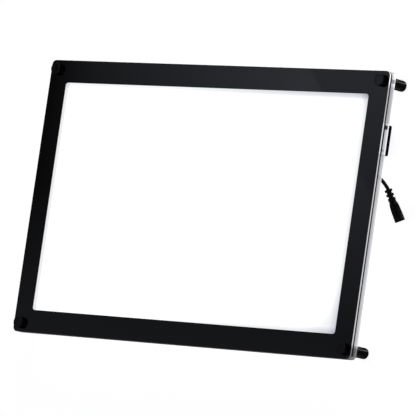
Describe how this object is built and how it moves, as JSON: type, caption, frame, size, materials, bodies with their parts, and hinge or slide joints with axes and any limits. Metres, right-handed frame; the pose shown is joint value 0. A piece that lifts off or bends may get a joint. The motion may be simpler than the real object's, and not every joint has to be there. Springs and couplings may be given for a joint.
{
  "type": "light box",
  "caption": "Slim edge-lit light box for tracing: lit window in a black border, clear acrylic sandwich on corner standoffs, rear control housing and a short power lead.",
  "frame": {"origin": "on the table, under the middle of the bottom-left foot (mount rest_bl)", "axes": "+X to the right of the lit face, +Y to its top edge, +Z out of the lit face (up, lying on its feet)"},
  "size_m": [0.4708, 0.28, 0.0367],
  "materials": {
    "mask_black": "smooth gloss black film",
    "clear_acrylic": "clear cast acrylic, polished edges",
    "gasket_foam": "fine black foam",
    "opal_diffuser": "opal acrylic, lit from behind",
    "light_guide": "clear acrylic with a fine dot pattern on its back",
    "reflector_white": "white film",
    "strip_board": "white solder mask",
    "led_body": "white body with yellow phosphor",
    "wire_sleeve": "PVC sleeve",
    "black_rubber": "matt black rubber",
    "foam_tape": "double-sided foam tape",
    "housing_black": "fine spark-eroded black ABS",
    "screw_steel": "zinc plated",
    "screw_black": "black oxide",
    "circuit_board": "green solder mask",
    "chip_resin": "black epoxy",
    "ferrite": "dark ferrite",
    "can_aluminium": "plain can",
    "switch_black": "black nylon",
    "knob_black": "satin black with grip grooves",
    "cable_sheath": "satin black PVC",
    "jack_black": "satin black PVC with grip ribs",
    "jack_insert_black": "black nylon",
    "contact_brass": "plain spring brass",
    "pin_chrome": "nickel plated",
    "foot_black": "gloss black anodised",
    "cap_black": "satin black anodised",
    "insert_brass": "plain brass",
    "stud_steel": "zinc plated",
    "washer_nylon": "black nylon"
  },
  "bodies": {
    "base": {"border_mask": "mask_black", "front_panel": "clear_acrylic", "gasket_frame": "gasket_foam", "diffuser_sheet": "opal_diffuser", "light_guide_plate": "light_guide", "reflector_sheet": "reflector_white", "rear_panel": "clear_acrylic", "led_strip_top": "strip_board", "led_strip_bottom": "strip_board", "led_row_top": "led_body", "led_row_bottom": "led_body", "led_wires": "wire_sleeve", "wire_bushing": "black_rubber", "base_tape": "foam_tape", "housing_base": "housing_black", "base_screws": "screw_steel", "control_housing": "housing_black", "housing_screws": "screw_black", "control_board": "circuit_board", "driver_chip": "chip_resin", "power_inductor": "ferrite", "filter_capacitor": "can_aluminium", "switch_body": "switch_black", "switch_wires": "wire_sleeve", "cable_bushing": "black_rubber", "cable_tail": "cable_sheath", "standoff_feet": "foot_black", "foot_inserts": "insert_brass", "foot_pads": "black_rubber"},
    "collar_tl": {"washer_tl": "washer_nylon"},
    "cap_tl": {"thumb_cap_tl": "cap_black", "stud_tl": "stud_steel"},
    "collar_tr": {"washer_tr": "washer_nylon"},
    "cap_tr": {"thumb_cap_tr": "cap_black", "stud_tr": "stud_steel"},
    "collar_bl": {"washer_bl": "washer_nylon"},
    "cap_bl": {"thumb_cap_bl": "cap_black", "stud_bl": "stud_steel"},
    "collar_br": {"washer_br": "washer_nylon"},
    "cap_br": {"thumb_cap_br": "cap_black", "stud_br": "stud_steel"},
    "switch": {"switch_knob": "knob_black"},
    "lead": {"power_cable": "cable_sheath", "jack_overmould": "jack_black", "jack_insert": "jack_insert_black", "jack_contact": "contact_brass", "jack_pin": "pin_chrome"}
  },
  "joints": [
    {"name": "lift_tl", "type": "slide", "parent": "base", "child": "collar_tl", "axis": [0, 0, 1], "range_m": [0, 0.0048]},
    {"name": "turn_tl", "type": "hinge", "parent": "collar_tl", "child": "cap_tl", "pos_m": [0, 0.2612, 0.0328], "axis": [0, 0, 1], "range_deg": [0, 2160]},
    {"name": "lift_tr", "type": "slide", "parent": "base", "child": "collar_tr", "axis": [0, 0, 1], "range_m": [0, 0.0048]},
    {"name": "turn_tr", "type": "hinge", "parent": "collar_tr", "child": "cap_tr", "pos_m": [0.4312, 0.2612, 0.0328], "axis": [0, 0, 1], "range_deg": [0, 2160]},
    {"name": "lift_bl", "type": "slide", "parent": "base", "child": "collar_bl", "axis": [0, 0, 1], "range_m": [0, 0.0048]},
    {"name": "turn_bl", "type": "hinge", "parent": "collar_bl", "child": "cap_bl", "pos_m": [0, 0, 0.0328], "axis": [0, 0, 1], "range_deg": [0, 2160]},
    {"name": "lift_br", "type": "slide", "parent": "base", "child": "collar_br", "axis": [0, 0, 1], "range_m": [0, 0.0048]},
    {"name": "turn_br", "type": "hinge", "parent": "collar_br", "child": "cap_br", "pos_m": [0.4312, 0, 0.0328], "axis": [0, 0, 1], "range_deg": [0, 2160]},
    {"name": "power_switch", "type": "slide", "parent": "base", "child": "switch", "axis": [0, 1, 0], "range_m": [0, 0.003]},
    {"name": "lead_swing", "type": "hinge", "parent": "base", "child": "lead", "pos_m": [0.4056, 0.18315, 0.01815], "axis": [0, 0, 1], "range_deg": [-40, 35]}
  ],
  "couplings": [
    {"joint": "turn_tl", "follows": "lift_tl", "rad_per_m": 7854},
    {"joint": "turn_tr", "follows": "lift_tr", "rad_per_m": 7854},
    {"joint": "turn_bl", "follows": "lift_bl", "rad_per_m": 7854},
    {"joint": "turn_br", "follows": "lift_br", "rad_per_m": 7854}
  ]
}
